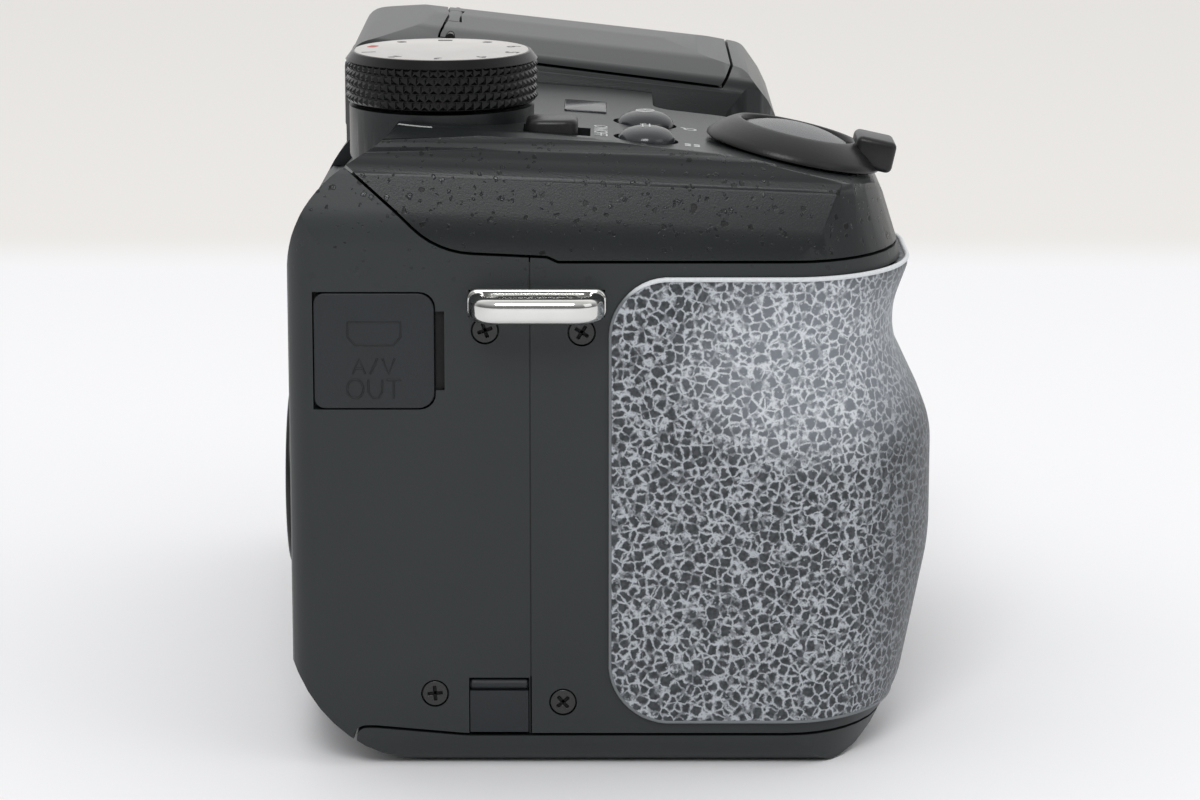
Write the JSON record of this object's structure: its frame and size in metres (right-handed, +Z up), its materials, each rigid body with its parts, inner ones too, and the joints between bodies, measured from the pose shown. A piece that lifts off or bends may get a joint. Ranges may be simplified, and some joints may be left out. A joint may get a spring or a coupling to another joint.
{
  "type": "bridge camera",
  "caption": "Digital bridge camera with a deep rubber grip, a telescoping zoom lens, a pop-up flash, a mode dial, sprung buttons, a rear screen and a battery door under the grip.",
  "frame": {"origin": "mouth of the tripod socket in the base, under the optical axis", "axes": "+Z up, -Y the way the lens looks, -X towards the grip"},
  "size_m": [0.1129, 0.0658, 0.0699],
  "materials": {
    "body_plastic": "fine spark texture, matte",
    "top_plastic": "satin, pitted on the shoulders",
    "skin_rubber": "leather-like cells with pale cracks",
    "flap_rubber": "soft, matte",
    "black_plastic": "satin to gloss",
    "lens_black": "satin",
    "inner_plastic": "moulded",
    "lens_glass": "polished, coated",
    "screen_plastic": "hard coated, clear over black",
    "screen_cell": "dark display",
    "dial_silver": "satin silver",
    "lug_chrome": "polished",
    "black_steel": "black oxide",
    "steel": "plain",
    "circuit_board": "green solder mask",
    "cell_metal": "printed sleeve"
  },
  "bodies": {
    "camera_body": {"front_cover": "body_plastic", "rear_cover": "body_plastic", "top_cover": "top_plastic", "plain_shoulder": "top_plastic", "hump_cover": "top_plastic", "base_plate": "body_plastic", "grip_skin": "skin_rubber", "strap_lug_grip": "lug_chrome", "strap_lug_plain": "lug_chrome", "screws": "black_steel", "terminal_socket": "steel", "control_board": "circuit_board", "flash_hinge_pin": "steel", "eyecup": "flap_rubber", "eyepiece_lens": "lens_glass", "viewfinder_tube": "inner_plastic", "lens_housing": "lens_black", "lens_ring": "lens_black", "image_sensor": "steel", "chassis": "steel", "tripod_socket": "steel", "main_board": "circuit_board", "battery_box": "inner_plastic", "battery_cells": "cell_metal", "cell_contacts": "steel", "card_slot": "steel", "screen_window": "screen_plastic", "screen_panel": "screen_cell", "rear_key_board": "circuit_board", "focus_lamp": "lens_glass"},
    "mode_dial": {"mode_dial": "black_plastic", "dial_plate": "dial_silver"},
    "power_slider": {"power_slider": "black_plastic"},
    "inner_button": {"inner_button": "black_plastic"},
    "outer_button": {"outer_button": "black_plastic"},
    "zoom_ring": {"zoom_ring": "black_plastic"},
    "shutter_button": {"shutter_button": "black_plastic"},
    "flash": {"flash_head": "top_plastic", "flash_window": "lens_glass", "flash_reflector": "lug_chrome"},
    "flash_button": {"flash_button": "black_plastic"},
    "dioptre_dial": {"dioptre_dial": "black_plastic"},
    "lens_outer": {"outer_barrel": "lens_black"},
    "lens_inner": {"inner_barrel": "lens_black", "front_ring": "lens_black", "front_lens": "lens_glass", "zoom_lens": "lens_glass"},
    "focus_group": {"focus_lens": "lens_glass"},
    "door_carriage": {"door_hinge_pin": "steel"},
    "door": {"battery_door": "body_plastic", "door_contacts": "steel"},
    "terminal_flap": {"terminal_cover": "flap_rubber"},
    "dc_flap": {"dc_cover": "flap_rubber"},
    "selector_carrier": {"selector_carrier": "black_plastic"},
    "selector_pad": {"selector_pad": "black_plastic"},
    "menu_button": {"menu_button": "black_plastic"},
    "playback_button": {"playback_button": "black_plastic"},
    "mode_button": {"mode_button": "black_plastic"},
    "display_button": {"display_button": "black_plastic"},
    "exposure_button": {"exposure_button": "black_plastic"}
  },
  "joints": [
    {"name": "dial_turn", "type": "hinge", "parent": "camera_body", "child": "mode_dial", "pos_m": [-0.0445, 0.0087, 0.0647], "axis": [0, 0, 1], "continuous": true},
    {"name": "power_slide", "type": "slide", "parent": "camera_body", "child": "power_slider", "axis": [0, -1, 0], "range_m": [0, 0.001], "stiffness_N_per_m": 150},
    {"name": "outer_button_press", "type": "slide", "parent": "camera_body", "child": "outer_button", "axis": [0, 0, -1], "range_m": [0, 0.0005], "stiffness_N_per_m": 300},
    {"name": "inner_button_press", "type": "slide", "parent": "camera_body", "child": "inner_button", "axis": [0, 0, -1], "range_m": [0, 0.0005], "stiffness_N_per_m": 300},
    {"name": "zoom_turn", "type": "hinge", "parent": "camera_body", "child": "zoom_ring", "pos_m": [-0.048, -0.02675, 0.0595], "axis": [0, -0.2164, 0.9763], "range_deg": [-22, 22], "stiffness_Nm_per_rad": 0.02},
    {"name": "shutter_press", "type": "slide", "parent": "camera_body", "child": "shutter_button", "axis": [0, 0.2164, -0.9763], "range_m": [0, 0.0007], "stiffness_N_per_m": 250},
    {"name": "flash_pop", "type": "hinge", "parent": "camera_body", "child": "flash", "pos_m": [0, 0.009, 0.0672], "axis": [-1, 0, 0], "range_deg": [0, 60]},
    {"name": "flash_button_press", "type": "slide", "parent": "camera_body", "child": "flash_button", "axis": [-1, 0, 0], "range_m": [0, 0.0004], "stiffness_N_per_m": 250},
    {"name": "dioptre_turn", "type": "hinge", "parent": "camera_body", "child": "dioptre_dial", "pos_m": [0.018, 0.0146, 0.0636], "axis": [1, 0, 0], "range_deg": [-60, 60]},
    {"name": "lens_outer_slide", "type": "slide", "parent": "camera_body", "child": "lens_outer", "axis": [0, -1, 0], "range_m": [0, 0.016]},
    {"name": "lens_inner_slide", "type": "slide", "parent": "lens_outer", "child": "lens_inner", "axis": [0, -1, 0], "range_m": [0, 0.014]},
    {"name": "focus_slide", "type": "slide", "parent": "camera_body", "child": "focus_group", "axis": [0, -1, 0], "range_m": [-0.002, 0.005]},
    {"name": "door_slide", "type": "slide", "parent": "camera_body", "child": "door_carriage", "axis": [-1, 0, 0], "range_m": [0, 0.003]},
    {"name": "door_swing", "type": "hinge", "parent": "door_carriage", "child": "door", "pos_m": [-0.0318, 0.00275, 0.0015], "axis": [0, -1, 0], "range_deg": [0, 95]},
    {"name": "terminal_open", "type": "hinge", "parent": "camera_body", "child": "terminal_flap", "pos_m": [-0.06325, 0.01995, 0.04255], "axis": [0, 0, -1], "range_deg": [0, 88]},
    {"name": "dc_open", "type": "hinge", "parent": "camera_body", "child": "dc_flap", "pos_m": [-0.0634, 0.0027, 0.0085], "axis": [0, 1, 0], "range_deg": [0, 70]},
    {"name": "selector_left_right", "type": "hinge", "parent": "camera_body", "child": "selector_carrier", "pos_m": [-0.0425, 0.0225, 0.0255], "axis": [0, 0, 1], "range_deg": [-2, 2], "stiffness_Nm_per_rad": 0.5},
    {"name": "selector_up_down", "type": "hinge", "parent": "selector_carrier", "child": "selector_pad", "pos_m": [-0.0425, 0.0225, 0.0255], "axis": [1, 0, 0], "range_deg": [-2, 2], "stiffness_Nm_per_rad": 0.5},
    {"name": "menu_press", "type": "slide", "parent": "camera_body", "child": "menu_button", "axis": [0, -1, 0], "range_m": [0, 0.0004], "stiffness_N_per_m": 250},
    {"name": "playback_press", "type": "slide", "parent": "camera_body", "child": "playback_button", "axis": [0, -1, 0], "range_m": [0, 0.0004], "stiffness_N_per_m": 250},
    {"name": "mode_press", "type": "slide", "parent": "camera_body", "child": "mode_button", "axis": [0, -1, 0], "range_m": [0, 0.0004], "stiffness_N_per_m": 250},
    {"name": "display_press", "type": "slide", "parent": "camera_body", "child": "display_button", "axis": [0, -1, 0], "range_m": [0, 0.0004], "stiffness_N_per_m": 250},
    {"name": "exposure_press", "type": "slide", "parent": "camera_body", "child": "exposure_button", "axis": [0, -1, 0], "range_m": [0, 0.0004], "stiffness_N_per_m": 250}
  ],
  "couplings": [
    {"joint": "lens_inner_slide", "follows": "lens_outer_slide", "ratio": 0.875}
  ]
}
